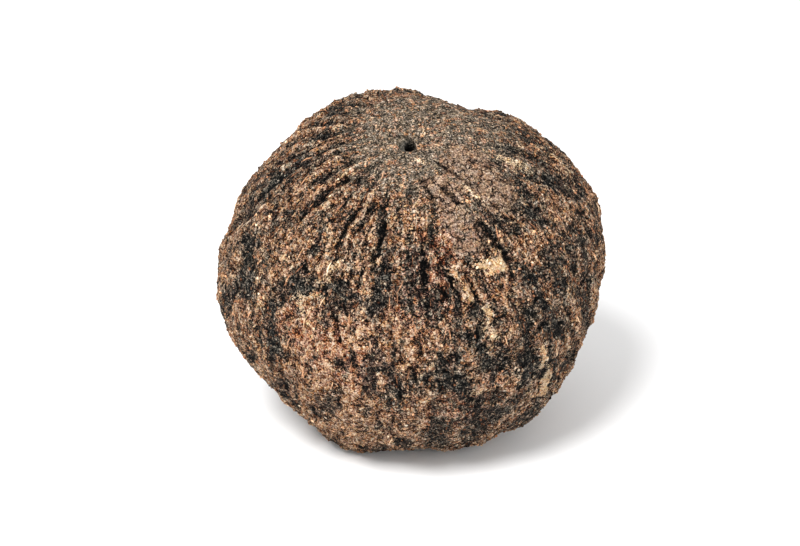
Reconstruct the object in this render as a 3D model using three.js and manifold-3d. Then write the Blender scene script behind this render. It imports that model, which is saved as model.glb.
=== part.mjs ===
// Brazil nut pod: the round woody fruit of the Brazil nut tree, picked and lying on a table.
// It grew as one piece, so it is one solid: a lumpy ball with a small pore at its crown, low folds
// that run down from the pore, the scar of its stalk low on the back, and a flat spot that it
// rests on. Millimetres, +Z up, front towards -Y. The origin is on the table, under the middle of
// the pod's box.
//
// The surface is one radius for each direction from the pod's middle. Directions are given as an
// azimuth, from the front (-Y) towards +X, and an elevation above the level, both in degrees.

import * as THREE from "three";
import { mergeVertices } from "three/addons/utils/BufferGeometryUtils.js";
import Module from "manifold-3d";

// ---- driving dimensions: millimetres and degrees ----

const FLANK_RADIUS = 57; // middle to flank, square to the pod's own axis
const CROWN_RADIUS = 55; // middle to the crown, along the axis
const STALK_RADIUS = 59; // middle to the stalk end, along the axis
const AXIS_LEAN = 21.5; // how far the crown leans forward from the vertical

const BASE_DEPTH = 52.5; // middle down to the flat spot that the pod rests on
const FLAT_BLEND = 16; // how sharply a pressed side meets the round body; higher is sharper

// Sides that grew flat against a branch or the ground: distance from the middle to the flat.
const FLATS = [
  { azimuth: -68, elevation: -39, distance: 61 }, // low on the left
  { azimuth: 4, elevation: -57, distance: 60 }, // under the front
  { azimuth: -108, elevation: 34, distance: 58.5 }, // high on the left
];

// Broad swellings and hollows: height at the middle, and the angle at which it has faded.
const LUMPS = [
  { azimuth: 99, elevation: 18, height: 4, width: 24 }, // right shoulder
  { azimuth: 84, elevation: -14, height: 1, width: 16 }, // right flank
  { azimuth: 62, elevation: -45, height: 2.5, width: 15 }, // right heel
  { azimuth: -42, elevation: -58, height: 3, width: 11 }, // left heel
  { azimuth: 30, elevation: -58, height: 1.5, width: 8 }, // front heel
  { azimuth: -86, elevation: -9, height: 3.5, width: 22 }, // left cheek
  { azimuth: -103, elevation: 25, height: 1.5, width: 9 }, // left brow
  { azimuth: -131, elevation: 55, height: 1, width: 10 }, // left of the crown
  { azimuth: 120, elevation: 70, height: -2, width: 12 }, // valley right of the crown, front end
  { azimuth: 146, elevation: 61, height: -5, width: 10 }, // the same valley, middle
  { azimuth: 159, elevation: 49, height: -5.5, width: 12 }, // the same valley, back end
  { azimuth: 178, elevation: 8, height: 2.5, width: 26 }, // back cheek
  { azimuth: -148, elevation: -30, height: 1.5, width: 16 }, // back heel
  { azimuth: 180, elevation: -78, height: -4, width: 28 }, // the underside, drawn in
];

// Low folds that run from the crown to the stalk, as on a loosely filled sack.
const FOLDS_ROUND = 24; // folds in one turn about the axis
const FOLD_HEIGHT = 0.6;
const FOLD_WANDER = 0.35; // sideways sway of the folds, in parts of a fold

// The pore: a shallow dish in the crown, and in it a round pit that narrows inwards.
const DISH_DEPTH = 2.7;
const DISH_WIDTH = 13; // degrees
const PORE_MOUTH_RADIUS = 2.8;
const PORE_FLOOR_RADIUS = 1.8;
const PORE_DEPTH = 7;

// The stalk scar: a round dished mark with a low rim.
const SCAR_AZIMUTH = 180;
const SCAR_ELEVATION = -56;
const SCAR_RADIUS = 6.5;
const SCAR_RIM_HEIGHT = 1.4;
const SCAR_RIM_WIDTH = 2.4;
const SCAR_DISH_DEPTH = 1;

const FACETS_PER_EDGE = 22; // rows of facets along each edge of the starting icosahedron
const PORE_SIDES = 24;

// ---- directions ----

const radians = THREE.MathUtils.degToRad;

function direction(azimuth, elevation) {
  const level = Math.cos(radians(elevation));
  const across = Math.sin(radians(azimuth)) * level;
  const forward = Math.cos(radians(azimuth)) * level;
  return new THREE.Vector3(across, -forward, Math.sin(radians(elevation)));
}

const crown = direction(0, 90 - AXIS_LEAN);
const right = new THREE.Vector3(1, 0, 0);
const behind = new THREE.Vector3().crossVectors(crown, right);
const scar = direction(SCAR_AZIMUTH, SCAR_ELEVATION);

const flats = FLATS.map((flat) => ({ ...flat, facing: direction(flat.azimuth, flat.elevation) }));
const lumps = LUMPS.map((lump) => ({ ...lump, middle: direction(lump.azimuth, lump.elevation) }));

// ---- the shape ----

// A smooth bell: 1 at 0, and almost nothing past twice the width.
function bell(offset, width) {
  return Math.exp(-((offset / width) ** 2));
}

// The egg-shaped body, cut back softly by each flat.
function bodyRadius(toward) {
  const along = toward.dot(crown);
  const across = Math.sqrt(Math.max(0, 1 - along * along));
  const endRadius = along > 0 ? CROWN_RADIUS : STALK_RADIUS;
  const egg = 1 / Math.hypot(across / FLANK_RADIUS, along / endRadius);
  let nearness = egg ** -FLAT_BLEND;
  for (const flat of flats) {
    const square = Math.max(0, toward.dot(flat.facing));
    nearness += (square / flat.distance) ** FLAT_BLEND;
  }
  return nearness ** (-1 / FLAT_BLEND);
}

function lumpHeight(toward) {
  let height = 0;
  for (const lump of lumps) {
    height += lump.height * bell(toward.angleTo(lump.middle), radians(lump.width));
  }
  return height;
}

// Folds along the meridians of the axis, which fade out at both ends of the pod.
function foldHeight(toward) {
  const along = toward.dot(crown);
  const turn = Math.atan2(toward.dot(behind), toward.dot(right));
  const sway = FOLD_WANDER * Math.sin(2 * turn + 3 * along);
  const fade = (1 - along * along) ** 1.5;
  return FOLD_HEIGHT * fade * Math.cos(FOLDS_ROUND * turn + sway * Math.PI);
}

function dishHeight(toward) {
  return -DISH_DEPTH * bell(toward.angleTo(crown), radians(DISH_WIDTH));
}

function scarHeight(toward) {
  const offset = toward.angleTo(scar) * STALK_RADIUS;
  const rim = SCAR_RIM_HEIGHT * bell(offset - SCAR_RADIUS, SCAR_RIM_WIDTH);
  return rim - SCAR_DISH_DEPTH * bell(offset, SCAR_RADIUS / 2);
}

function surfaceRadius(toward) {
  const relief = lumpHeight(toward) + foldHeight(toward) + dishHeight(toward) + scarHeight(toward);
  return bodyRadius(toward) + relief;
}

// ---- solids ----

const wasm = await Module();
wasm.setup();

// A closed geometry whose shared corners are merged, as a solid. Triangles that shrank to a line
// at a pole are dropped.
function toSolid(geometry) {
  const bare = geometry.clone();
  bare.deleteAttribute("normal");
  bare.deleteAttribute("uv");
  const merged = mergeVertices(bare);
  const corners = [];
  for (let i = 0; i < merged.index.count; i += 3) {
    const [a, b, c] = [0, 1, 2].map((k) => merged.index.getX(i + k));
    if (a !== b && b !== c && c !== a) corners.push(a, b, c);
  }
  const vertProperties = new Float32Array(merged.attributes.position.array);
  const triVerts = new Uint32Array(corners);
  return new wasm.Manifold(new wasm.Mesh({ numProp: 3, vertProperties, triVerts }));
}

function toGeometry(solid) {
  const mesh = solid.getMesh();
  const geometry = new THREE.BufferGeometry();
  geometry.setAttribute("position", new THREE.BufferAttribute(mesh.vertProperties, 3));
  geometry.setIndex(new THREE.BufferAttribute(mesh.triVerts, 1));
  geometry.computeVertexNormals();
  return geometry;
}

function lumpyBall() {
  const geometry = new THREE.IcosahedronGeometry(1, FACETS_PER_EDGE - 1);
  geometry.deleteAttribute("normal");
  geometry.deleteAttribute("uv");
  const ball = mergeVertices(geometry);
  const corners = ball.attributes.position;
  const toward = new THREE.Vector3();
  for (let i = 0; i < corners.count; i += 1) {
    toward.fromBufferAttribute(corners, i).normalize();
    toward.multiplyScalar(surfaceRadius(toward.clone()));
    corners.setXYZ(i, toward.x, toward.y, toward.z);
  }
  return toSolid(ball);
}

// Everything under the level that the pod rests on.
function tableBlock() {
  const side = 4 * FLANK_RADIUS;
  const block = new THREE.BoxGeometry(side, side, FLANK_RADIUS);
  block.translate(0, 0, -BASE_DEPTH - FLANK_RADIUS / 2);
  return toSolid(block);
}

// A plug that narrows towards the middle of the pod and stands clear of the crown outside.
function porePlug() {
  const mouth = surfaceRadius(crown);
  const floor = mouth - PORE_DEPTH;
  const top = mouth + PORE_DEPTH;
  const flare = (PORE_MOUTH_RADIUS - PORE_FLOOR_RADIUS) / PORE_DEPTH;
  const profile = [
    new THREE.Vector2(0, floor),
    new THREE.Vector2(PORE_FLOOR_RADIUS, floor),
    new THREE.Vector2(PORE_MOUTH_RADIUS + flare * (top - mouth), top),
    new THREE.Vector2(0, top),
  ];
  const plug = new THREE.LatheGeometry(profile, PORE_SIDES);
  const up = new THREE.Vector3(0, 1, 0);
  plug.applyQuaternion(new THREE.Quaternion().setFromUnitVectors(up, crown));
  return toSolid(plug);
}

const podGeometry = toGeometry(lumpyBall().subtract(tableBlock()).subtract(porePlug()));

// ---- the model ----

const bark = new THREE.MeshStandardMaterial({ color: 0x785f4c, roughness: 0.85, metalness: 0 });
const pod = new THREE.Mesh(podGeometry, bark);
pod.name = "pod";

// Stand the pod on the table, with the middle of its box over the origin.
podGeometry.computeBoundingBox();
const box = podGeometry.boundingBox;
const middle = box.getCenter(new THREE.Vector3());
pod.position.set(-middle.x, -middle.y, -box.min.z);

const model = new THREE.Group();
model.add(pod);

export default model;
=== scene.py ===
# %% [markdown]
# # A Brazil nut pod
#
# The pod is the woody fruit of the Brazil nut tree, about as big as a grapefruit. The CAD frame
# already holds its size, its lumps, its pore and the flat spot that it rests on. Blender adds what
# turns that shape into bark: ribs and furrows, flakes, pits, crumbs and a weathered finish.

# %% Load the frame
import math
import random
import bmesh
import bpy
import numpy as np
from mathutils import Matrix, Vector, noise
from mathutils.bvhtree import BVHTree


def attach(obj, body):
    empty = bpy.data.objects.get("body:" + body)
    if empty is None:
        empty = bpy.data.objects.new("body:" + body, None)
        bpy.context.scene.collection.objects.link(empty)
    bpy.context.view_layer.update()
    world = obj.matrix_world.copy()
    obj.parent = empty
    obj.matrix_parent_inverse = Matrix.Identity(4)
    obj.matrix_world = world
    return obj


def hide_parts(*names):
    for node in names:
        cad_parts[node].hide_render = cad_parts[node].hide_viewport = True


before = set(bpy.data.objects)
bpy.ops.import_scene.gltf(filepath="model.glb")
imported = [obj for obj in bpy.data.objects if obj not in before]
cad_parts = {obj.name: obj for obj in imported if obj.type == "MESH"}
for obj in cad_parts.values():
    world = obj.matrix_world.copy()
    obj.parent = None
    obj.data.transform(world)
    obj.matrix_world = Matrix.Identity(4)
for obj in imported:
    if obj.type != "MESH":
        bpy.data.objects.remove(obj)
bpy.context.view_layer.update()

# %% [markdown]
# ## The pod's own directions
#
# The marks on a fruit follow the fruit and not the table. Two angles place every pattern below: how
# far a point lies from the pore, and which way round the pod it is. Both are measured at the
# heart, the point inside the pod that the CAD measures its radii from.

# %% The heart, the crown and the way round
MM = 0.001  # metres in a millimetre
HEART = Vector((0.3, -1.4, 52.5)) * MM  # to a tenth of a millimetre
CROWN_LEAN = math.radians(21.5)
CROWN = Vector((0.0, -math.sin(CROWN_LEAN), math.cos(CROWN_LEAN)))
RIGHT = Vector((1.0, 0.0, 0.0))
BEHIND = CROWN.cross(RIGHT)
SKIN_RADIUS = 57.0  # millimetres, which turns an angle at the heart into a length on the skin


def toward(azimuth, elevation):
    """The direction at an azimuth from the front, towards +X, and an elevation, in degrees."""
    level = math.cos(math.radians(elevation))
    turn = math.radians(azimuth)
    rise = math.sin(math.radians(elevation))
    return Vector((math.sin(turn) * level, -math.cos(turn) * level, rise))


# %% [markdown]
# ## A fine ball to carve
#
# The bark needs a dense and even mesh. A UV sphere crowds its faces at two poles, and an icosphere
# has no tidy way to lay out its skin. A cube that is cut into a grid and then blown up has neither
# fault, and each side of the cube gives one square of the UV map.

# %% Cut a cube into a grid and lay out its UV map
GRID_CUTS = 126
UV_MARGIN = 0.012  # empty border round each square, as a part of the square

ball = bmesh.new()
bmesh.ops.create_cube(ball, size=2.0)
bmesh.ops.subdivide_edges(ball, edges=ball.edges[:], cuts=GRID_CUTS, use_grid_fill=True)
uv_layer = ball.loops.layers.uv.new("OFBake")


def in_square(place):
    """A place from -1 to 1 along one side of the cube, as a part of its square in the UV map."""
    return UV_MARGIN + (place + 1.0) / 2.0 * (1.0 - 2.0 * UV_MARGIN)


for face in ball.faces:
    face.smooth = True
    side = max(range(3), key=lambda axis: abs(face.normal[axis]))
    row = 0 if face.normal[side] > 0.0 else 1
    across, up = [axis for axis in range(3) if axis != side]
    for loop in face.loops:
        corner = loop.vert.co
        column_place = (side + in_square(corner[across])) / 3.0
        loop[uv_layer].uv = (column_place, (row + in_square(corner[up])) / 2.0)
print("grid:", len(ball.verts), "points and", len(ball.faces), "faces")

# %% [markdown]
# The grid is blown up in equal steps of angle, and then drawn in towards the pore, where the
# finest shapes are. One side of the cube ends up square on the crown.

# %% Blow the grid up into a ball
PORE_CROWDING = 0.55  # how much closer the points lie at the pore
CROWDING_REACH = 0.5  # radians

turn_to_crown = Vector((0.0, 0.0, 1.0)).rotation_difference(CROWN)


def blown_up(corner):
    """The direction of a point of the cube, crowded towards the crown."""
    even = Vector([math.tan(part * math.pi / 4.0) for part in corner]).normalized()
    angle = math.acos(max(-1.0, min(1.0, even.z)))
    nearer = angle * (1.0 - PORE_CROWDING * math.exp(-((angle / CROWDING_REACH) ** 2)))
    level = Vector((even.x, even.y, 0.0))
    if level.length > 0.0:
        level.normalize()
    return turn_to_crown @ (level * math.sin(nearer) + Vector((0.0, 0.0, math.cos(nearer))))


ways = [blown_up(vert.co) for vert in ball.verts]
ways_table = np.array(ways)
print("directions:", len(ways))

# %% [markdown]
# ## Shrink the ball onto the CAD shape
#
# A ray comes in from outside along each direction and stops at the CAD pod, so the skin starts at
# the CAD's size. The CAD's facets are then rubbed smooth. The pore stays out of that, because its
# rim is sharp on the real pod too.

# %% Cast the rays and rub the facets smooth
OUTSIDE = 0.2  # metres from the heart, well clear of the pod
SMOOTHING_ROUNDS = 8
PORE_REACH = 5.0  # degrees round the pore that stay as they are

cad = bmesh.new()
cad.from_mesh(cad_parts["pod"].data)
bmesh.ops.remove_doubles(cad, verts=cad.verts[:], dist=0.01 * MM)
cad_tree = BVHTree.FromBMesh(cad)
cad.free()

for vert, way in zip(ball.verts, ways):
    vert.co = cad_tree.ray_cast(HEART + way * OUTSIDE, -way)[0]

angles = np.degrees(np.arccos(np.clip(ways_table @ np.array(CROWN), -1.0, 1.0)))
turns = np.arctan2(ways_table @ np.array(BEHIND), ways_table @ np.array(RIGHT))
away_from_pore = [vert for vert, angle in zip(ball.verts, angles) if angle > PORE_REACH]
for _ in range(SMOOTHING_ROUNDS):
    bmesh.ops.smooth_vert(
        ball, verts=away_from_pore, factor=0.5, use_axis_x=True, use_axis_y=True, use_axis_z=True
    )
ball.verts.ensure_lookup_table()
pore_middle = ball.verts[int(angles.argmin())].co
print("radius at the pore, mm:", round((pore_middle - HEART).length / MM, 1))

# %% [markdown]
# ## Where things are on the skin
#
# Everything on the pod runs from the pore to the stalk, like the lines of a globe. A point's place
# in the grain is its length along such a line and its turn about the pod. Noise that is read from
# a space that is short across the grain and long along it comes out as ribs and fibres.
#
# Vector noise starts from the clock unless it is given a seed. The seed is set before any of it is
# read, so the pod comes out the same each time.

# %% Helpers for places, noise and soft edges
NOISE_SEED = 7
GRIT_SIZE = 2.8  # millimetres

noise.seed_set(NOISE_SEED)


def apart(number):
    """A shift that takes a noise to a place of its own."""
    return Vector((13.7, 5.3, 21.9)) * number


class Spot:
    """Where one point of the skin lies, in millimetres from the heart and along the grain."""

    def __init__(self, way, angle, turn):
        self.place = way * SKIN_RADIUS
        self.along = math.radians(angle) * SKIN_RADIUS
        sway = 0.030 * noise.noise(self.place / 9.0) + 0.012 * noise.noise(self.place / 3.5)
        self.round_x = math.cos(turn + sway)
        self.round_y = math.sin(turn + sway)

    def grain(self, lines_round, length, number=0):
        """A place in the grain: so many cells round the pod, each so many millimetres long."""
        reach = lines_round / math.tau
        place = Vector((reach * self.round_x, reach * self.round_y, self.along / length))
        return place + apart(number)


spots = [Spot(way, angle, turn) for way, angle, turn in zip(ways, angles, turns)]


def over_skin(read):
    """A value for each point of the skin, as an array."""
    return np.array([read(spot) for spot in spots])


def fade(low, high, values):
    """0 below low, 1 above high, with an easy slope between, for numbers and arrays."""
    share = np.clip((values - low) / (high - low), 0.0, 1.0)
    return share * share * (3.0 - 2.0 * share)


grit = over_skin(lambda spot: noise.fractal(spot.place / GRIT_SIZE, 0.4, 2.0, 3))
print("grit, spread:", round(float(grit.std()), 2))

# %% [markdown]
# ## Marks placed one by one
#
# A pod has marks of its own: old smooth skin that held on near the crown, cracks through it, cream
# scuffs where the bark chipped, rusty bark, and charcoal patches. Each is one or more short
# strokes from one direction to another, with a width in millimetres. The strokes only say where a
# mark is likely: their edges are torn by noise here, and the bark's own crumbs break them up again
# in the material, so that none of them looks painted on.

# %% Strokes on the skin
TEAR_SIZE = 5.0  # millimetres
TEAR_REACH = 2.4  # millimetres that noise moves the edge of a stroke

tear = over_skin(lambda spot: noise.fractal(spot.place / TEAR_SIZE + apart(21), 0.6, 2.1, 5))


def stroke(start, end, width):
    """1 along a line on the skin from one direction to another, fading out past its width."""
    first = np.array(toward(*start)) * SKIN_RADIUS
    line = np.array(toward(*end)) * SKIN_RADIUS - first
    offset = ways_table * SKIN_RADIUS - first
    part = np.clip(offset @ line / max(float(line @ line), 1e-9), 0.0, 1.0)
    distance = np.linalg.norm(offset - part[:, None] * line, axis=1)
    torn = distance + min(TEAR_REACH, 1.2 * width) * tear
    return 1.0 - fade(0.2 * width, 1.7 * width, torn)


def strokes(*lines):
    """Several strokes as one mark."""
    return np.max([stroke(*line) for line in lines], axis=0)


# %% [markdown]
# Each end of a stroke is an azimuth and an elevation in degrees, and the last number is its width.
# The old skin comes first, then the cracks through it, and then the grooves between the ribs.

# %% Old skin, cracks and grooves
old_skin = strokes(
    ((30, 57), (38, 44), 7.5),
    ((14, 48), (20, 32), 5.5),
)
cracks = strokes(
    ((14, 60), (22, 54), 0.6),
    ((22, 54), (35, 40), 0.7),
    ((5, 52), (10, 44), 0.6),
    ((13, 50), (20, 43), 0.6),
    ((24, 34), (27, 28), 0.5),
)
deep_grooves = strokes(
    ((26, 36), (33, 24), 1.1),
    ((11, 23), (15, 14), 0.7),
    ((17, 23), (20, 15), 0.6),
    ((-20, 44), (-26, 30), 0.9),
    ((-10, 38), (-13, 24), 0.8),
    ((3, 36), (4, 20), 0.8),
    ((8, 32), (10, 16), 0.8),
    ((-32, 50), (-44, 34), 0.8),
    ((-3, -4), (2, -10), 1.0),
    ((-24, 8), (-22, 1), 0.9),
)

# %% [markdown]
# A chip shows the cream bark inside. A fresh one shows nearly whole, and a faint one only where the
# crumbs of the bark let it.

# %% Chips
fresh_chips = strokes(
    ((22, 24), (29, 22), 2.2),
    ((29, 23), (31, 27), 1.3),
    ((14, 23), (18, 15), 1.2),
    ((43, -7), (45, -15), 0.9),
    ((49, -17), (51, -27), 1.8),
    ((150, 20), (154, 12), 1.8),
)
faint_chips = strokes(
    ((84, 45), (88, 37), 3.2),
    ((53, 54), (63, 45), 1.2),
    ((24, 49), (32, 41), 0.7),
    ((23, 10), (24, 2), 1.9),
    ((20, -17), (27, -18), 1.5),
    ((-36, 11), (-33, 5), 1.7),
    ((-36, 12), (-28, 13), 1.5),
    ((-48, 21), (-44, 22), 1.2),
    ((4, 61), (8, 59), 1.2),
    ((1, 40), (3, 46), 1.4),
    ((-24, 25), (-28, 18), 1.4),
    ((-150, -5), (-146, -12), 2.0),
    ((-120, 30), (-124, 24), 1.8),
)
FAINTNESS = 0.62  # how likely a faint chip is, next to a fresh one
cream = np.maximum(fresh_chips, FAINTNESS * faint_chips)

# %% [markdown]
# Charcoal lies in dark patches with torn edges. The broad strokes after it only tint the bark that
# they cross: sunny is paler and rusty is redder. The last strokes are painted shade on the lower
# front, the lower right and the bottom. They are laid on the charcoal as a weaker charcoal, so from
# then on the charcoal mask holds both charcoal and painted shade.

# %% Charcoal, broad tints and painted shade
# painted shade: the last strokes of this cell darken the lower front, the lower right and the bottom by
# this share of charcoal
PAINTED_SHADE_DARKNESS = 0.45  # how dark a dusky stroke is, next to charcoal
charcoal = strokes(
    ((37, 19), (41, 7), 3.4),
    ((52, 11), (49, -3), 2.8),
    ((63, 44), (69, 38), 2.6),
    ((60, 57), (67, 54), 2.0),
    ((-72, 34), (-65, 47), 2.6),
    ((-66, 48), (-78, 60), 3.0),
    ((-80, 61), (-115, 67), 3.2),
    ((-150, 75), (170, 75), 3.2),
    ((0, -12), (15, -14), 3.8),
    ((18, 4), (22, -8), 3.0),
    ((34, -10), (47, -16), 4.5),
    ((-68, 22), (-58, 6), 4.0),
    ((-48, 3), (-45, -8), 3.2),
    ((-38, 15), (-22, 16), 2.2),
    ((-9, 24), (-13, 10), 2.2),
    ((36, 56), (50, 52), 1.6),
    ((42, 40), (54, 30), 2.8),
    ((120, 5), (128, -8), 4.0),
    ((-160, 30), (-152, 18), 4.0),
    ((170, -15), (176, -28), 3.5),
)
sunny = strokes(
    ((-22, -4), (-18, -30), 20.0),
    ((-30, 6), (-24, 0), 8.0),
    ((140, 10), (150, -20), 24.0),
)
rusty = strokes(
    ((-36, 3), (-19, -6), 9.0),
    ((10, 31), (2, 14), 8.0),
    ((26, -20), (12, -26), 7.0),
    ((-170, 5), (-150, -10), 12.0),
)
# painted shade on the lower front, the lower right and the bottom
painted_shade_lower_right = strokes(
    ((2, -30), (44, -26), 16.0),
    ((38, 2), (48, -16), 9.0),
    ((-6, -12), (6, -20), 7.0),
    ((10, -46), (40, -42), 8.0),
)
# the painted shade joins the charcoal here, so from now on this mask holds both
charcoal = np.maximum(charcoal, PAINTED_SHADE_DARKNESS * painted_shade_lower_right)
for title, mark in (("old skin", old_skin), ("cream", cream), ("charcoal", charcoal)):
    print(title, "on the skin, as a part:", round(float(mark.mean()), 3))

# %% [markdown]
# ## Ribs and furrows
#
# The bark has split into long lozenges with furrows between them. Voronoi cells in the grain have
# that shape: the gap between the nearest and the second nearest cell is nothing in a furrow. The
# ribs fork as the pod widens, so each band down the pod has its own number of ribs, and the bands
# meet along a ragged line.

# %% Ribs in bands that fork
RIB_BANDS = [
    # ribs in one turn, length of a rib in millimetres, first and last angle from the pore
    (40, 18.0, -20.0, 27.0),
    (66, 22.0, 27.0, 56.0),
    (92, 10.0, 56.0, 112.0),
    (66, 11.0, 112.0, 140.0),
    (40, 13.0, 140.0, 220.0),
]
BAND_BLEND = 2.0  # degrees
BAND_RAGGEDNESS = 9.0  # degrees
FURROW_WIDTH = 0.30  # in parts of a rib
RIB_ROUND = 0.8  # in parts of a rib


def wall_gap(spot):
    """How far a point stands from the nearest wall between two ribs, in parts of a rib."""
    angle = math.degrees(spot.along / SKIN_RADIUS)
    angle += BAND_RAGGEDNESS * noise.noise(spot.place / 8.0 + apart(3))
    gap = 0.0
    shares = 0.0
    for number, (lines_round, length, first, last) in enumerate(RIB_BANDS):
        enter = min(1.0, max(0.0, (angle - first) / BAND_BLEND))
        leave = min(1.0, max(0.0, (last - angle) / BAND_BLEND + 1.0))
        share = enter * leave
        if share > 0.0:
            near, next_near = noise.voronoi(spot.grain(lines_round, length, number))[0][:2]
            gap += share * (next_near - near)
            shares += share
    return gap / max(shares, 0.001)


gaps = over_skin(wall_gap)
furrows = 1.0 - np.clip(gaps / FURROW_WIDTH, 0.0, 1.0)
rib_tops = np.clip(gaps / RIB_ROUND, 0.0, 1.0)
opened = over_skin(lambda spot: noise.noise(spot.grain(26, 24.0, 8)))
print("furrows, part of the skin:", round(float(furrows.mean()), 2))

# %% [markdown]
# ## Flakes, crust, pits and patches
#
# The bark flakes off in thin layers with sharp edges. Below the middle it is a crumbly crust with
# pits. Flakes come from a noise that is cut off at a height, the crust from ridged noise, and the
# pits from the middles of Voronoi cells. One more noise is a patchwork: where it is low, the outer
# bark is lost and the dark layer under it shows, and where it is high the dry tan bark stands
# proud. The relief, the colours and the crumbs all follow it.

# %% The smaller relief
CRUST_SIZE = 5.0  # millimetres, as are the sizes below
PIT_SIZE = 2.9
PIT_BEND_SIZE = 2.0
SWELL_SIZE = 15.0


def flake_layer(spot, number, edge):
    """1 where a layer of the outer bark is still there, 0 where it has come away."""
    layer = noise.fractal(spot.grain(30, 8.0, number), 0.7, 2.1, 4)
    return float(fade(edge, edge + 0.12, layer))


def crust_height(spot):
    return noise.ridged_multi_fractal(spot.place / CRUST_SIZE, 0.6, 2.0, 4, 1.0, 2.0)


def pit_distance(spot):
    bent = spot.place / PIT_SIZE + 0.3 * noise.noise_vector(spot.place / PIT_BEND_SIZE)
    return noise.voronoi(bent)[0][0]


outer_flakes = over_skin(lambda spot: flake_layer(spot, 5, -0.25))
inner_flakes = over_skin(lambda spot: flake_layer(spot, 6, 0.15))
crust = over_skin(crust_height)
pits = 1.0 - fade(0.0, 0.34, over_skin(pit_distance))
swells = over_skin(lambda spot: noise.fractal(spot.place / SWELL_SIZE + apart(9), 0.9, 2.0, 3))
patchwork = over_skin(lambda spot: noise.fractal(spot.grain(56, 13.0, 12), 0.7, 2.15, 6))
patchwork = (patchwork - patchwork.mean()) / patchwork.std()
patchwork += 0.25 * cream + 0.3 * sunny - 0.75 * charcoal
lost_bark = fade(-0.1, -1.1, patchwork)
kept_bark = fade(0.3, 1.1, patchwork)
print("crust, mean:", round(float(crust.mean()), 2), "pits:", round(float(pits.mean()), 2))

# %% [markdown]
# ## The pore
#
# The lid of the fruit has sunk into its pore and closes about half of it, a little below the rim.
# To the right of its middle it has broken away, and a dark hole with a thin lip is open there.
# First the mouth is filled up level with its rim, and then the lid and the hole are pressed in.

# %% The mouth, the lid and the hole
MOUTH_RADIUS = 2.8  # millimetres, as are the sizes below
MOUTH_ACROSS = 3.0  # where the sunken lid ends, from its own middle
LID_MIDDLE = -1.3  # to the left of the pore's middle
LID_DEPTH = 1.0
HOLE_MIDDLE = -0.45
HOLE_HALF_WIDTH = 1.6
HOLE_HALF_LENGTH = 2.2
HOLE_DEPTH = 6.0
LIP_HEIGHT = 0.35

radii = np.array([(vert.co - HEART).length for vert in ball.verts]) / MM
rim_radius = float(radii[(angles > 3.6) & (angles < 4.8)].mean())
sideways = ways_table @ np.array(RIGHT) * rim_radius
backwards = np.where(angles < 90.0, ways_table @ np.array(BEHIND) * rim_radius, 1000.0)
from_pore = np.hypot(sideways, backwards)
fill = np.where(from_pore < MOUTH_RADIUS + 0.4, rim_radius - radii, 0.0)
from_lid = np.hypot(sideways - LID_MIDDLE, backwards) + 0.3 * grit
in_mouth = 1.0 - fade(MOUTH_ACROSS - 0.8, MOUTH_ACROSS, from_lid)
from_hole = np.hypot((sideways - HOLE_MIDDLE) / HOLE_HALF_WIDTH, backwards / HOLE_HALF_LENGTH)
hole = 1.0 - fade(0.8, 1.1, from_hole + 0.12 * grit)
lip = LIP_HEIGHT * fade(0.2, 1.5, sideways) * np.exp(-(((from_hole - 1.35) / 0.2) ** 2))
pore_push = fill + lip - LID_DEPTH * in_mouth - (HOLE_DEPTH - LID_DEPTH) * hole
print("rim radius, mm:", round(rim_radius, 1), "deepest push:", round(float(pore_push.min()), 1))

# %% [markdown]
# ## The stalk scar
#
# Where the stalk broke off, low on the back, the wood is a round dish with a rim and a few rings
# in it. The distance from its middle is all that its shape needs.

# %% The rim and the dish of the scar
SCAR_RADIUS = 6.5  # millimetres, as are the sizes below
SCAR_RIM_HEIGHT = 0.5
SCAR_RIM_WIDTH = 0.9
SCAR_RING_HEIGHT = 0.18
SCAR_RING_CLOSENESS = 3.2  # radians of a ring's wave in each millimetre

scar_way = np.array(toward(180, -56))
from_scar = np.degrees(np.arccos(np.clip(ways_table @ scar_way, -1.0, 1.0)))
from_scar = np.radians(from_scar) * SKIN_RADIUS + 0.5 * grit
scar_rim = SCAR_RIM_HEIGHT * np.exp(-(((from_scar - SCAR_RADIUS) / SCAR_RIM_WIDTH) ** 2))
scar_rings = SCAR_RING_HEIGHT * np.cos(from_scar * SCAR_RING_CLOSENESS)
in_scar = 1.0 - fade(SCAR_RADIUS - 1.2, SCAR_RADIUS, from_scar)

# %% [markdown]
# ## Push the skin in and out
#
# The layers are added up in millimetres, each where it belongs. Near the pore the ribs fade into
# fine grit, and the old skin stays nearly flat but for its cracks. Nothing goes below the table.

# %% Heights and depths, and where each layer holds
FURROW_DEPTH = 0.62  # millimetres, as are all the heights and depths here
RIB_HEIGHT = 0.28
FLAKE_HEIGHT = 0.24
CRUST_DEPTH = 0.30
PIT_DEPTH = 0.45
PATCH_STEP = 0.26  # from the middle of the patchwork to lost bark, and to kept bark
SKIN_HEIGHT = 0.25
CHIP_HEIGHT = 0.25
CHARCOAL_DEPTH = 0.20
CRACK_DEPTH = 0.55
GROOVE_DEPTH = 0.70
GRIT_HEIGHT = 0.22
SWELL_HEIGHT = 0.55

granular_reach = 38.0 + 12.0 * np.cos(turns - 0.35)  # degrees, furthest on the right
granular = 1.0 - fade(0.4 * granular_reach, granular_reach, angles)
crusty = fade(45.0, 85.0, angles)
near_pore = 1.0 - fade(3.4, 6.0, angles)
openness = 0.25 + 0.75 * fade(-0.35, 0.25, opened)

furrow_depth = FURROW_DEPTH * openness * (1.0 - 0.85 * granular) * (1.0 - 0.45 * crusty)
rib_height = RIB_HEIGHT * (1.0 - 0.8 * granular)
flake_height = FLAKE_HEIGHT * (1.0 - 0.6 * granular)
crust_depth = CRUST_DEPTH * (0.4 + 0.6 * crusty)
pit_depth = PIT_DEPTH * (0.4 + 0.6 * crusty)

# %% [markdown]
# Plain bark comes first. It is then pressed almost flat under the old skin and in the scar, and the
# marks are cut into it or laid on it.

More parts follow.
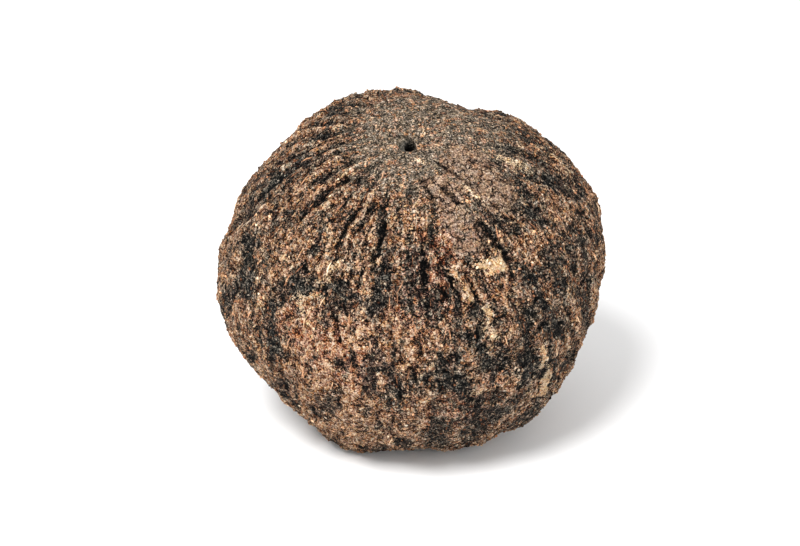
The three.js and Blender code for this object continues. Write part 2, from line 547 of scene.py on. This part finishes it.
# %% Add up the relief
bark_relief = (
    rib_height * (rib_tops - 0.5)
    - furrow_depth * furrows
    + flake_height * (outer_flakes + inner_flakes - 1.0)
    + crust_depth * (crust - 1.05)
    - pit_depth * pits
    + PATCH_STEP * kept_bark * (1.0 - granular)
    - PATCH_STEP * lost_bark * (1.0 - granular)
    + 0.15
)
still_skin = np.maximum(fade(0.35, 0.65, old_skin), in_scar)
relief = (
    bark_relief * (1.0 - 0.85 * still_skin)
    + SKIN_HEIGHT * fade(0.35, 0.65, old_skin)
    + CHIP_HEIGHT * cream
    - CHARCOAL_DEPTH * charcoal
    - CRACK_DEPTH * cracks
    - GROOVE_DEPTH * deep_grooves
    + GRIT_HEIGHT * grit * (1.0 - 0.6 * still_skin) * (1.0 - 0.4 * granular)
    + SWELL_HEIGHT * swells
) * (1.0 - near_pore)
relief += scar_rim + scar_rings * in_scar + 0.15 * grit * near_pore

for vert, way, height in zip(ball.verts, ways, relief + pore_push):
    vert.co += way * float(height) * MM
    vert.co.z = max(vert.co.z, 0.0)
print("relief, mm:", round(float(relief.min()), 2), "to", round(float(relief.max()), 2))

# %% [markdown]
# ## Hollows
#
# The material paints shade into the hollows of the bark and painted light onto its broad crests.
# How far a point lies below the mean of the skin round it says which it is. A few rounds of
# averaging find the narrow hollows, and many rounds find the broad ones.

# %% Measure the hollows
links = np.array([[vert.index for vert in edge.verts] for edge in ball.edges])
neighbours = np.bincount(links.ravel(), minlength=len(spots)) + 1


def averaged(values, rounds):
    """Each value becomes the mean of itself and its neighbours, so many times over."""
    for _ in range(rounds):
        total = values.copy()
        total += np.bincount(links[:, 0], weights=values[links[:, 1]], minlength=len(values))
        total += np.bincount(links[:, 1], weights=values[links[:, 0]], minlength=len(values))
        values = total / neighbours
    return values


narrow_hollows = averaged(relief, 3) - relief
broad_hollows = averaged(relief, 24) - relief
print("hollows, mm:", round(float(narrow_hollows.std()), 2), round(float(broad_hollows.std()), 2))

# %% [markdown]
# ## Make the skin an object
#
# The measurements go with the mesh as attributes, where the material can read them. The skin
# stands for the CAD pod, and it rides on the only body there is.

# %% The skin and its attributes
skin_mesh = bpy.data.meshes.new("bark_skin")
ball.to_mesh(skin_mesh)
ball.free()
skin = bpy.data.objects.new("bark_skin", skin_mesh)
bpy.context.scene.collection.objects.link(skin)


def keep(name, values):
    """Stores one number for each point of the skin."""
    layer = skin_mesh.attributes.new(name, "FLOAT", "POINT")
    layer.data.foreach_set("value", np.asarray(values, dtype=np.float32))


keep("narrow_hollow", narrow_hollows)
keep("broad_hollow", broad_hollows)
keep("granular", granular)
keep("patchwork", patchwork)
keep("old_skin", old_skin)
keep("cream", cream)
keep("charcoal", charcoal)
keep("sunny", sunny)
keep("rusty", rusty)
keep("dark_gap", np.maximum(cracks, deep_grooves))
keep("hole", hole)
keep("lid", in_mouth * (1.0 - hole))
keep("scar", in_scar)

grain_line = skin_mesh.attributes.new("grain_line", "FLOAT_VECTOR", "POINT")
line_places = np.stack(
    [SKIN_RADIUS * np.cos(turns), SKIN_RADIUS * np.sin(turns), np.radians(angles) * SKIN_RADIUS], axis=1
)
grain_line.data.foreach_set("vector", line_places.astype(np.float32).ravel())

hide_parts("pod")
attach(skin, "root")
print("skin:", len(skin_mesh.vertices), "points")

# %% [markdown]
# ## A short way to write shader maths
#
# A bark material is mostly sums of noises. Written as nodes, each sum takes many lines. Here a
# small class wraps the output of a node, so that the sums can be written as sums, and a second
# class adds any other node in one call.

# %% Shader values that add up
class Value:
    """One output of a shader node, which takes part in sums as a number would."""

    def __init__(self, finish, socket):
        self.finish = finish
        self.socket = socket

    def maths(self, operation, *parts):
        return self.finish.node("ShaderNodeMath", {"operation": operation}, dict(enumerate(parts)))

    def __add__(self, other):
        return self.maths("ADD", self, other)

    def __sub__(self, other):
        return self.maths("SUBTRACT", self, other)

    def __rsub__(self, other):
        return self.maths("SUBTRACT", other, self)

    def __mul__(self, other):
        return self.maths("MULTIPLY", self, other)

    __radd__ = __add__
    __rmul__ = __mul__


# %% [markdown]
# The second class is a material. Its one method for nodes takes a node's type, its settings and
# what goes into its sockets. The short methods after it are for nodes that come up again and again.

# %% A material that is built node by node
class Finish:
    """A material, built one node at a time."""

    def __init__(self, name):
        self.material = bpy.data.materials.new(name)
        self.material.use_nodes = True
        self.tree = self.material.node_tree
        self.tree.nodes.clear()

    def node(self, kind, settings=None, sockets=None, output=0):
        """Adds a node, sets it up, fills or links its sockets, and returns what it gives."""
        node = self.tree.nodes.new(kind)
        for name, setting in (settings or {}).items():
            if name == "stops":
                self.set_stops(node.color_ramp.elements, setting)
            else:
                setattr(node, name, setting)
        for name, value in (sockets or {}).items():
            if isinstance(value, Value):
                self.tree.links.new(value.socket, node.inputs[name])
            else:
                node.inputs[name].default_value = value
        if output == "all":
            return [Value(self, socket) for socket in node.outputs]
        return Value(self, node.outputs[output]) if node.outputs else None

    def set_stops(self, elements, stops):
        while len(elements) < len(stops):
            elements.new(0.5)
        for element, (position, colour) in zip(elements, stops):
            element.position = position
            element.color = colour

    def attribute(self, name, output=2):
        """A number that is stored with the mesh, or a vector with output 1."""
        return self.node("ShaderNodeAttribute", {"attribute_name": name}, output=output)

    def fade(self, value, low, high, to_low=0.0, to_high=1.0):
        """An easy slope between two levels of a value."""
        ends = {"Value": value, "From Min": low, "From Max": high, "To Min": to_low, "To Max": to_high}
        return self.node("ShaderNodeMapRange", {"interpolation_type": "SMOOTHSTEP"}, ends)

    def noise(self, place, scale, detail, roughness, output=0):
        sockets = {"Vector": place, "Scale": scale, "Detail": detail, "Roughness": roughness}
        return self.node("ShaderNodeTexNoise", {}, sockets, output)

    def mix(self, amount, first, second):
        return self.node("ShaderNodeMix", {"data_type": "RGBA"}, {0: amount, 6: first, 7: second}, 2)

    def surface(self, **sockets):
        """Closes the material with its shader."""
        named = {name.replace("_", " "): value for name, value in sockets.items()}
        shader = self.node("ShaderNodeBsdfPrincipled", {}, named)
        self.node("ShaderNodeOutputMaterial", {}, {"Surface": shader})
        return self.material


# %% [markdown]
# Colours are easier to choose as on a paint card, from 0 to 255. Shaders work in linear light, so
# each of the three parts goes through the curve that screens use.

# %% Paint
def paint(red, green, blue):
    """A colour as on a paint card, 0 to 255, turned into the linear light that shaders use."""
    linear = []
    for part in (red, green, blue):
        part = part / 255.0
        linear.append(part / 12.92 if part <= 0.04045 else ((part + 0.055) / 1.055) ** 2.4)
    return (*linear, 1.0)


# %% [markdown]
# ## The bark's tones
#
# Bark is one material in many tones, from nearly black in the painted shade of the furrows to cream
# on a fresh chip. So the material first works out one number, the tone, from the hollows, whose
# shade it paints in, and from noises of several sizes, and then looks its colour up on scales that
# run from dark to light.
#
# A noise that reads the place counts its cells to a metre, so 2,000 gives grains of half a
# millimetre. One that reads the grain line counts them to a millimetre.

# %% Places, noises and crumbs
bark = Finish("bark")
place = bark.node("ShaderNodeTexCoord", output=3)
grain = bark.attribute("grain_line", 1)
along_grain = bark.node("ShaderNodeMapping", {}, {"Vector": grain, "Scale": (1.0, 1.0, 0.34)})

mottle = bark.noise(place, 260.0, 7.0, 0.88) - 0.5
streaks = bark.noise(along_grain, 0.42, 6.0, 0.78) - 0.5
speckle = bark.noise(place, 2100.0, 2.0, 0.9) - 0.5
warmth = bark.noise(place, 300.0, 5.0, 0.85)


def bent_place(scale, detail, reach):
    """The place, pushed up to so many metres by a noise, so that cells lose their straight sides."""
    push = bark.noise(place, scale, detail, 0.55, output=1)
    return bark.node(
        "ShaderNodeVectorMath", {"operation": "MULTIPLY_ADD"}, {0: push, 1: (reach,) * 3, 2: place}
    )


CRUMB_BEND = 0.9 * MM
nudged = bent_place(1300.0, 2.0, CRUMB_BEND)


def crumbs(where, scale, gap_width):
    """Cells of crumbled bark: three random numbers for each cell, and the gaps between cells."""
    cell = {"Vector": where, "Scale": scale}
    colour = bark.node("ShaderNodeTexVoronoi", {}, cell, 1)
    numbers = bark.node("ShaderNodeSeparateColor", {}, {"Color": colour}, "all")
    edge = bark.node("ShaderNodeTexVoronoi", {"feature": "DISTANCE_TO_EDGE"}, cell)
    return numbers, bark.fade(edge, 0.0, gap_width, 1.0, 0.0)


FLAKE_BEND = 2.6 * MM
big, big_gap = crumbs(nudged, 1150.0, 0.18)
small, small_gap = crumbs(nudged, 2300.0, 0.18)
flake, flake_gap = crumbs(bent_place(700.0, 3.0, FLAKE_BEND), 520.0, 0.11)

# %% [markdown]
# Dry bark is covered in thin crooked lines: the edges of curled flakes and the cracks between them.
# A noise passes through its middle value along just such lines, so the places where it is close to
# the middle are drawn dark, and those of another noise pale, as frayed edges.

# %% Wrinkles
def thin_lines(where, scale, width):
    """1 along crooked lines, where a noise passes through its middle value."""
    level = bark.noise(where, scale, 4.0, 0.55) - 0.5
    return bark.fade(level.maths("ABSOLUTE", level), 0.0, width, 1.0, 0.0)


long_wrinkles = thin_lines(along_grain, 0.45, 0.034)
wrinkles = thin_lines(place, 330.0, 0.034)
small_wrinkles = thin_lines(place, 640.0, 0.038)
frayed_edges = thin_lines(place, 410.0, 0.026)

# %% [markdown]
# Every number that the skin carries is read once. Masks then say how far each finish holds at a
# point. Crumbs are added to a mask before it is cut off, which gives its patches a crumbled edge.

# %% Numbers from the skin, and masks
narrow_hollow = bark.attribute("narrow_hollow")
broad_hollow = bark.attribute("broad_hollow")
granular_here = bark.attribute("granular")
patchwork_here = bark.attribute("patchwork")
old_skin_here = bark.attribute("old_skin")
cream_here = bark.attribute("cream")
charcoal_and_shade_here = bark.attribute("charcoal")
sunny_here = bark.attribute("sunny")
rusty_here = bark.attribute("rusty")
dark_gap = bark.attribute("dark_gap")
hole_here = bark.attribute("hole")
lid_here = bark.attribute("lid")
scar_here = bark.attribute("scar")


def toned(share, first, second):
    """A blend of two numbers."""
    return first + (second - first) * share


crumble = mottle * 1.6 + speckle * 1.2 + (small[0] - 0.5) * 0.30 + (big[0] - 0.5) * 0.20
flake_tone = (flake[0] - 0.5) * 0.22 - flake_gap * 0.10
fine_tone = mottle * 0.7 + speckle * 2.1 + (small[0] - 0.5) * 0.56 + (big[0] - 0.5) * 0.24 + flake_tone
calm_tone = mottle * 0.34 + speckle * 1.8 + (small[0] - 0.5) * 0.42 + flake_tone * 0.4
thread_place = bark.node("ShaderNodeMapping", {}, {"Vector": grain, "Scale": (1.0, 1.0, 0.16)})
threads = bark.noise(thread_place, 1.15, 3.0, 0.65)
pale_threads = bark.fade(threads, 0.58, 0.68)
dark_threads = bark.fade(threads, 0.33, 0.42, 1.0, 0.0)
bright_crumbs = bark.fade(big[1], 0.86, 0.90)
skin_mask = bark.fade(old_skin_here + crumble * 0.5, 0.42, 0.58)
cream_mask = bark.fade(cream_here + crumble * 1.1, 0.50, 0.74)
plaque = bark.fade(patchwork_here + crumble * 0.9, -0.80, -0.25, 1.0, 0.0)
crest = bark.fade(patchwork_here + crumble * 0.9 + sunny_here * 0.5, 0.35, 0.95)
lively = 1.0 - granular_here * 0.85

# %% [markdown]
# The tone of plain bark is one sum. Painted shade in the hollows, wrinkles, dark threads and gaps
# take from it, and painted light on the broad crests of the relief, the crests of kept bark, pale
# threads and the odd bright crumb add to it. Close to the crown the bark is calm, so the strong
# terms fade out.

# %% The tone of the bark
BARK_TONE = 0.494  # 0 is the dark end of the scales and 1 the light end, for every tone

bark_tone = (
    BARK_TONE
    # painted shade in the narrow and broad hollows of the relief, and painted light where it stands out
    - narrow_hollow * 0.46
    - broad_hollow * 0.18
    + toned(granular_here, fine_tone, calm_tone)
    + pale_threads * 0.16 * lively
    - dark_threads * 0.15 * lively
    + bright_crumbs * 0.12
    + granular_here * 0.022
    - long_wrinkles * 0.13 * lively
    - wrinkles * 0.14
    - small_wrinkles * 0.13
    + frayed_edges * 0.13
    + streaks * 0.54 * lively
    - plaque * 0.12 * lively
    + crest * 0.085 * lively
    - big_gap * 0.08
    - small_gap * 0.06
    + sunny_here * 0.075
)

# %% [markdown]
# The old skin is a calm grey brown with a net of thin cracks, and painted shade in its hollows.
# The cream chips, the charcoal with its painted shade and the grooves shift the tone, and the hole
# of the pore is painted near black, as the shade deep inside it.

# %% Skin, chips, charcoal and grooves
SKIN_CRACK_SCALE = 270.0
SKIN_CRACK_BEND = 5.2 * MM
SKIN_TONE = 0.512
CHIP_TONE = 0.82
SCAR_TONE = 0.50
LID_TONE = 0.40

plate = {"Vector": bent_place(420.0, 3.0, SKIN_CRACK_BEND), "Scale": SKIN_CRACK_SCALE}
net = bark.node("ShaderNodeTexVoronoi", {"feature": "DISTANCE_TO_EDGE"}, plate)
crack_breaks = bark.fade(bark.noise(place, 210.0, 3.0, 0.7), 0.38, 0.50)
skin_cracks = bark.fade(net, 0.0, 0.085, 1.0, 0.0) * crack_breaks
skin_grit = mottle * 0.34 + speckle * 1.5 + (small[0] - 0.5) * 0.28
skin_grit = skin_grit - small_wrinkles * 0.11 + frayed_edges * 0.06
# painted shade: the old skin is darker in its narrow hollows
skin_tone = SKIN_TONE + skin_grit - skin_cracks * 0.38 - narrow_hollow * 0.35

tone = toned(skin_mask, bark_tone, skin_tone)
# the charcoal mask darkens the tone, the painted shade on the lower right included
tone = tone - charcoal_and_shade_here * 0.07
tone = toned(cream_mask, tone, CHIP_TONE + fine_tone * 0.50 + streaks * 0.4 - wrinkles * 0.16)
# painted shade: the scar is much darker in its narrow hollows
tone = toned(scar_here, tone, SCAR_TONE + streaks * 0.8 + fine_tone * 0.5 - narrow_hollow * 1.2)
tone = tone - dark_gap * 0.22
tone = toned(lid_here, tone, LID_TONE + calm_tone * 0.4)
# painted shade: the hole is painted near black, as the shade deep inside it
tone = tone - hole_here * 0.9

# %% [markdown]
# The scales run from the darkest tone to the lightest. Warm is dry inner bark, grey is old bark,
# cold is the dark layer under lost bark, and cream is fresh chips. A noise chooses between warm and
# grey from crumb to crumb, as weathering does, and rusty bark is turned a little towards red.

# %% Scales of colour
WARM = [
    (5, 3, 2), (27, 15, 10), (76, 47, 33), (125, 83, 60),
    (172, 120, 88), (208, 156, 118), (232, 192, 150), (246, 220, 186),
]
GREY = [
    (5, 5, 4), (22, 20, 18), (56, 50, 42), (93, 81, 67),
    (131, 115, 98), (167, 149, 129), (202, 184, 161), (230, 216, 195),
]
CREAM = [
    (8, 6, 4), (46, 30, 18), (98, 68, 42), (144, 106, 68),
    (188, 146, 100), (222, 180, 128), (242, 208, 156), (250, 230, 192),
]
COLD = [
    (3, 4, 5), (15, 18, 20), (40, 45, 46), (74, 76, 72),
    (112, 111, 103), (150, 144, 130), (190, 180, 160), (222, 212, 192),
]


def scale_of(finish, colours, value):
    """A colour looked up on a scale of evenly spaced tones."""
    last = len(colours) - 1
    stops = [(number / last, paint(*colour)) for number, colour in enumerate(colours)]
    return finish.node("ShaderNodeValToRGB", {"stops": stops}, {"Fac": value})


# %% [markdown]
# The lean pushes the choice between warm and grey to one side. The cold scale comes in where bark
# is lost or charred and under the painted shade on the lower right, and each crumb is turned a
# little in hue and in strength of colour.

# %% The colour
lean = (
    sunny_here * 0.06
    - granular_here * 0.11
    - charcoal_and_shade_here * 0.05
    - lid_here * 0.3
    + cream_mask * 0.10
    + crest * 0.06
    + (tone - 0.45) * 0.16
    + (big[1] - 0.5) * 0.12
    + (small[1] - 0.5) * 0.12
)
warm_share = toned(skin_mask, bark.fade(warmth + lean, 0.42, 0.60), bark.fade(warmth, 0.15, 1.15))
colour = bark.mix(warm_share, scale_of(bark, GREY, tone), scale_of(bark, WARM, tone))
cold = (plaque * 0.45 * lively + charcoal_and_shade_here * 0.25) * (1.0 - skin_mask) + lid_here * 0.5
colour = bark.mix(cold, colour, scale_of(bark, COLD, tone))
colour = bark.mix(cream_mask * 0.45, colour, scale_of(bark, CREAM, tone))
rust = rusty_here * bark.fade(warmth + (big[1] - 0.5) * 0.3, 0.40, 0.60)
hue = 0.5 + (small[2] - 0.5) * 0.02 - rust * 0.013
saturation = 0.8 + big[2] * 0.35 + rust * 0.06
tinted = {"Hue": hue, "Saturation": saturation, "Color": colour}
colour = bark.node("ShaderNodeHueSaturation", {}, tinted)

# %% [markdown]
# The bump stands for relief that is finer than the grid. It uses the noises that tint the crumbs,
# the flakes and the wrinkles, so light and colour agree. Pale bark is drier, and so it is rougher.

# %% The bump and the shader
BUMP_REACH = 0.9 * MM

rough = bark.fade(tone, 0.2, 0.8, 0.65, 0.95)
height = (
    mottle * 0.6
    + streaks * 0.4 * lively
    + speckle * 0.7
    - long_wrinkles * 0.22 * lively
    - wrinkles * 0.22
    - small_wrinkles * 0.12
    + frayed_edges * 0.18
    + flake[0] * 0.30
    - flake_gap * 0.24
    - big_gap * 0.20
    - small_gap * 0.14
    + small[0] * 0.22
    + big[0] * 0.28
)
calm_height = mottle * 0.25 + (speckle * 0.6 + small[0] * 0.12) * (1.0 - skin_mask * 0.5)
calm_height = calm_height - skin_cracks * skin_mask * 0.35 - wrinkles * 0.12 + frayed_edges * 0.08
height = toned(skin_mask.maths("MAXIMUM", skin_mask, granular_here), height, calm_height)
bumpy = bark.node("ShaderNodeBump", {}, {"Strength": 1.0, "Distance": BUMP_REACH, "Height": height})
bark.surface(Base_Color=colour, Roughness=rough, Normal=bumpy, Specular_IOR_Level=0.05)
skin_mesh.materials.append(bark.material)
print("bark nodes:", len(bark.tree.nodes))

# %% [markdown]
# ## Loose crumbs and fibres
#
# A grid can't hold shapes finer than its squares. On the real pod, crumbs of bark the size of sand
# and pale fibres stand on the surface and catch the light one by one. They are made as geometry:
# one small shape is built with operators, and thousands of changed copies of it are joined. Each
# copy knows its own shade, and takes its share of that from the skin that it sits on.

# %% Join many copies of a small shape
# painted shade: crumbs and fibres in narrow hollows, and under the painted shade on the lower right,
# are set darker
shade_near = 0.42 - 0.35 * narrow_hollows + (1.0 - granular) * (0.14 * kept_bark - 0.17 * lost_bark)
shade_near = np.clip(shade_near - 0.06 * charcoal + 0.26 * cream - 0.15 * deep_grooves, 0.08, 0.9)
skin_tree = BVHTree.FromPolygons(
    [vert.co.copy() for vert in skin_mesh.vertices],
    [tuple(face.vertices) for face in skin_mesh.polygons],
)


def on_skin(way):
    """Where a direction from the heart meets the finished skin."""
    return np.array(skin_tree.ray_cast(HEART + way * OUTSIDE, -way)[0])


def joined_copies(name, shape, places, shades, warmths):
    """One object from changed copies of a shape, with a square of the UV map for each copy."""
    unit = bpy.data.meshes.new(name + "_unit")
    shape.to_mesh(unit)
    shape.free()
    whole = bmesh.new()
    for points in places:
        unit.vertices.foreach_set("co", points.astype(np.float32).ravel())
        whole.from_mesh(unit)
    mesh = bpy.data.meshes.new(name)
    whole.to_mesh(mesh)
    whole.free()

    in_row = math.ceil(math.sqrt(len(places)))
    unit_uv = np.zeros(len(unit.loops) * 2)
    unit.uv_layers["OFBake"].data.foreach_get("uv", unit_uv)
    cells = np.stack(np.divmod(np.arange(len(places)), in_row), axis=1)
    uv = (cells[:, None, :] + 0.1 + 0.8 * unit_uv.reshape(1, -1, 2)) / in_row
    mesh.uv_layers["OFBake"].data.foreach_set("uv", uv.astype(np.float32).ravel())
    for label, values in (("shade", shades), ("warmth", warmths)):
        layer = mesh.attributes.new(label, "FLOAT", "POINT")
        layer.data.foreach_set("value", np.repeat(values, len(unit.vertices)).astype(np.float32))
    bpy.data.meshes.remove(unit)

    piece = bpy.data.objects.new(name, mesh)
    bpy.context.scene.collection.objects.link(piece)
    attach(piece, "root")
    print(name, len(places), "copies,", len(mesh.polygons), "faces")
    return piece


# %% [markdown]
# A crumb is an icosphere of twenty faces, knocked out of round and squashed. It lies flat on the
# skin with its lower third sunk in. Few of them lie on the old skin, and none in the pore or at
# the ground.

# %% The shape of a crumb, and where it has room
CRUMB_COUNT = 6500
CRUMB_HALF_LENGTH = (0.24, 0.62)  # millimetres, smallest and largest
CRUMB_FLATNESS = (0.40, 0.75)  # half its height, in parts of its half length
CRUMB_CLEARANCE = 1.2  # millimetres above the ground
CRUMB_DRIFT = 0.012  # how far a crumb strays from its point, in parts of the radius
CHANCE_SEED = 7

chance = random.Random(CHANCE_SEED)
crumb_shape = bmesh.new()
crumb_shape.loops.layers.uv.new("OFBake")
bmesh.ops.create_icosphere(crumb_shape, subdivisions=1, radius=1.0, calc_uvs=True)
crumb_points = np.array([tuple(vert.co) for vert in crumb_shape.verts])


def room_for_crumb(number):
    """How likely a crumb stays at a point of the skin."""
    bare = max(still_skin[number] * 0.92, granular[number] * 0.7, in_mouth[number], hole[number])
    return (1.0 - bare) * (0.35 + 0.65 * float(fade(0.12, -0.05, narrow_hollows[number])))


def face_areas():
    """The share of the skin that lies round each point."""
    shares = np.zeros(len(skin_mesh.vertices))
    for face in skin_mesh.polygons:
        for corner in face.vertices:
            shares[corner] += face.area
    return shares


# %% [markdown]
# Points are drawn by the share of the skin that lies round each, because the grid is denser at the
# pore. A drawn point then keeps its crumb with the likelihood that was worked out above.

# %% Set the crumbs down
areas = face_areas()
crumb_spots = []
candidates = chance.choices(range(len(ways)), weights=areas, k=4 * CRUMB_COUNT)
for number in candidates:
    high_enough = skin_mesh.vertices[number].co.z > CRUMB_CLEARANCE * MM
    if high_enough and chance.random() < room_for_crumb(number) and len(crumb_spots) < CRUMB_COUNT:
        crumb_spots.append(number)


def crumb_at(number):
    """The points of one crumb: knocked about, squashed, turned and set on the skin."""
    jitter = Vector([chance.uniform(-0.4, 0.4) for _ in range(3)])
    way = (ways[number] + jitter * CRUMB_DRIFT).normalized()
    size = CRUMB_HALF_LENGTH[0] + (CRUMB_HALF_LENGTH[1] - CRUMB_HALF_LENGTH[0]) * chance.random() ** 2.2
    width = size * chance.uniform(0.55, 0.9)
    rise = size * chance.uniform(*CRUMB_FLATNESS)
    turned = (way + jitter * 0.5).to_track_quat("Z", "Y").to_matrix()
    turned = turned @ Matrix.Rotation(chance.uniform(0.0, math.tau), 3, "Z")
    knocks = np.array([chance.uniform(0.72, 1.18) for _ in crumb_points])
    own = crumb_points * knocks[:, None] * (size, width, rise)
    middle = on_skin(way) + np.array(way) * rise * 0.3 * MM
    return middle + own @ np.array(turned).T * MM


crumb_places = [crumb_at(number) for number in crumb_spots]
crumb_shades = shade_near[crumb_spots] + np.array([chance.gauss(0.03, 0.15) for _ in crumb_spots])
crumb_warmths = np.array([chance.gauss(0.55, 0.28) for _ in crumb_spots]) - 0.2 * granular[crumb_spots]
crumbs_piece = joined_copies("bark_crumbs", crumb_shape, crumb_places, crumb_shades, crumb_warmths)

# %% [markdown]
# A fibre is a cube stretched to a rod, cut into four lengths and drawn in almost to a point at both
# ends. It is then laid along the grain: each of its points is moved to the skin below it, so the
# fibre follows every bump.

# %% The shape of a fibre
FIBRE_COUNT = 700
FIBRE_HALF_LENGTH = (0.6, 2.4)  # millimetres
FIBRE_HALF_WIDTH = (0.08, 0.17)
FIBRE_LENGTHS = 4
FIBRE_CLEARANCE = 4.8  # millimetres above the ground

fibre_shape = bmesh.new()
fibre_shape.loops.layers.uv.new("OFBake")
bmesh.ops.create_cube(fibre_shape, size=2.0, calc_uvs=True)
long_edges = [edge for edge in fibre_shape.edges if abs(edge.verts[0].co.x - edge.verts[1].co.x) > 1.0]
bmesh.ops.subdivide_edges(fibre_shape, edges=long_edges, cuts=FIBRE_LENGTHS - 1)
for vert in fibre_shape.verts:
    slim = math.sqrt(max(0.02, 1.0 - vert.co.x**2))
    vert.co.y *= slim
    vert.co.z *= slim
fibre_points = np.array([tuple(vert.co) for vert in fibre_shape.verts])

# %% [markdown]
# Each fibre heads down the grain, give or take about ten degrees, and bends a little on its way.

# %% Lay the fibres along the grain
def fibre_at(number):
    """The points of one fibre, each set on the skin along the grain from its middle."""
    middle = ways[number]
    down_grain = (middle * middle.dot(CROWN) - CROWN).normalized()
    across = middle.cross(down_grain)
    heading = down_grain + across * chance.gauss(0.0, 0.16)
    half_length = chance.uniform(*FIBRE_HALF_LENGTH)
    half_width = chance.uniform(*FIBRE_HALF_WIDTH)
    bend = chance.uniform(-0.12, 0.12)
    points = []
    for along, side, up in fibre_points:
        sideways_mm = side * half_width + bend * half_length * along**2
        offset = heading * (along * half_length) + across * sideways_mm
        way = (middle + offset / SKIN_RADIUS).normalized()
        points.append(on_skin(way) + np.array(way) * (up + 0.25) * half_width * MM)
    return np.array(points)


def room_for_fibre(number):
    """How likely a fibre stays at a point: most of all on a rib with nothing else on it."""
    bare = max(still_skin[number], granular[number] * 0.85)
    clear = skin_mesh.vertices[number].co.z > FIBRE_CLEARANCE * MM
    return clear * (1.0 - bare) * float(fade(0.08, -0.08, narrow_hollows[number]))


fibre_spots = []
for number in chance.choices(range(len(ways)), weights=areas, k=8 * FIBRE_COUNT):
    if chance.random() < room_for_fibre(number) and len(fibre_spots) < FIBRE_COUNT:
        fibre_spots.append(number)
fibre_places = [fibre_at(number) for number in fibre_spots]
fibre_shades = shade_near[fibre_spots] + np.array([chance.gauss(0.05, 0.12) for _ in fibre_spots])
fibre_warmths = np.array([chance.gauss(0.65, 0.22) for _ in fibre_spots])
fibres_piece = joined_copies("bark_fibres", fibre_shape, fibre_places, fibre_shades, fibre_warmths)

# %% [markdown]
# The crumbs and fibres take their colours from the warm and the grey scale of the skin, by the
# shade and the warmth that each of them carries, with a little grit of their own.

# %% The finish of the crumbs and fibres
LOOSE_BUMP_REACH = 0.3 * MM

loose = Finish("loose_bark")
loose_place = loose.node("ShaderNodeTexCoord", output=3)
grit_here = loose.noise(loose_place, 1900.0, 2.0, 0.8) - 0.5
loose_tone = loose.attribute("shade") + grit_here * 0.9
loose_warmth = loose.fade(loose.attribute("warmth"), 0.2, 0.7)
loose_grey = scale_of(loose, GREY, loose_tone)
loose_warm = scale_of(loose, WARM, loose_tone)
loose_colour = loose.mix(loose_warmth, loose_grey, loose_warm)
loose_height = {"Strength": 0.8, "Distance": LOOSE_BUMP_REACH, "Height": grit_here}
loose_bump = loose.node("ShaderNodeBump", {}, loose_height)
loose.surface(Base_Color=loose_colour, Roughness=0.85, Normal=loose_bump, Specular_IOR_Level=0.05)
for piece in (crumbs_piece, fibres_piece):
    piece.data.materials.append(loose.material)

# %% [markdown]
# ## The studio
#
# A plain pale floor and soft light show a rough object best: a lamp from the upper left gives the
# ribs their shadows, a weaker one from the right keeps those open, and the white air fills the
# rest.

# %% The floor
FLOOR_SIZE = 3.0  # metres from its middle to each side

floor_shape = bmesh.new()
bmesh.ops.create_grid(floor_shape, x_segments=1, y_segments=1, size=FLOOR_SIZE)
floor_mesh = bpy.data.meshes.new("floor")
floor_shape.to_mesh(floor_mesh)
floor_shape.free()
floor = bpy.data.objects.new("floor", floor_mesh)
bpy.context.scene.collection.objects.link(floor)
pale = Finish("pale_floor")
floor_mesh.materials.append(pale.surface(Base_Color=(0.9, 0.9, 0.9, 1.0), Roughness=0.9))

# %% [markdown]
# A lamp throws softer shadows the wider it is. The fill is twice as wide as the key and about a
# quarter as strong, so the key's shadows are the ones that show.

# %% The lamps and the air
AIR_BRIGHTNESS = 0.85

air = bpy.data.worlds.new("studio_air")
air.use_nodes = True
air.node_tree.nodes["Background"].inputs["Color"].default_value = (1.0, 1.0, 1.0, 1.0)
air.node_tree.nodes["Background"].inputs["Strength"].default_value = AIR_BRIGHTNESS
bpy.context.scene.world = air


def softbox(name, azimuth, elevation, distance, size, watts):
    """A round soft lamp that looks at the heart of the pod."""
    data = bpy.data.lights.new(name, "AREA")
    data.shape = "DISK"
    data.size = size
    data.energy = watts
    lamp = bpy.data.objects.new(name, data)
    bpy.context.scene.collection.objects.link(lamp)
    lamp.location = HEART + toward(azimuth, elevation) * distance
    lamp.rotation_euler = (HEART - lamp.location).to_track_quat("-Z", "Y").to_euler()
    return lamp


softbox("key_lamp", azimuth=-30, elevation=52, distance=1.2, size=0.45, watts=17.0)
softbox("fill_lamp", azimuth=45, elevation=20, distance=1.3, size=0.9, watts=4.5)

# %% [markdown]
# The camera stands in front, a little above the pod, with a long lens that keeps its round shape
# true. It aims slightly to the left of the heart and below it, which sets the pod in the frame.

# %% The camera
CAMERA_ELEVATION = 25.0
CAMERA_DISTANCE = 0.691
AIM_LEFT = 3.4 * MM
AIM_BELOW = 1.6 * MM

to_camera = toward(0, CAMERA_ELEVATION)
picture_up = to_camera.cross(RIGHT)
aim = HEART - RIGHT * AIM_LEFT - picture_up * AIM_BELOW
lens = bpy.data.cameras.new("camera")
lens.lens = 100.0
lens.sensor_width = 36.0
camera = bpy.data.objects.new("camera", lens)
bpy.context.scene.collection.objects.link(camera)
camera.location = aim + to_camera * CAMERA_DISTANCE
camera.rotation_euler = (-to_camera).to_track_quat("-Z", "Y").to_euler()
bpy.context.scene.camera = camera
bpy.context.scene.view_settings.view_transform = "Standard"
print("camera at", tuple(camera.location))
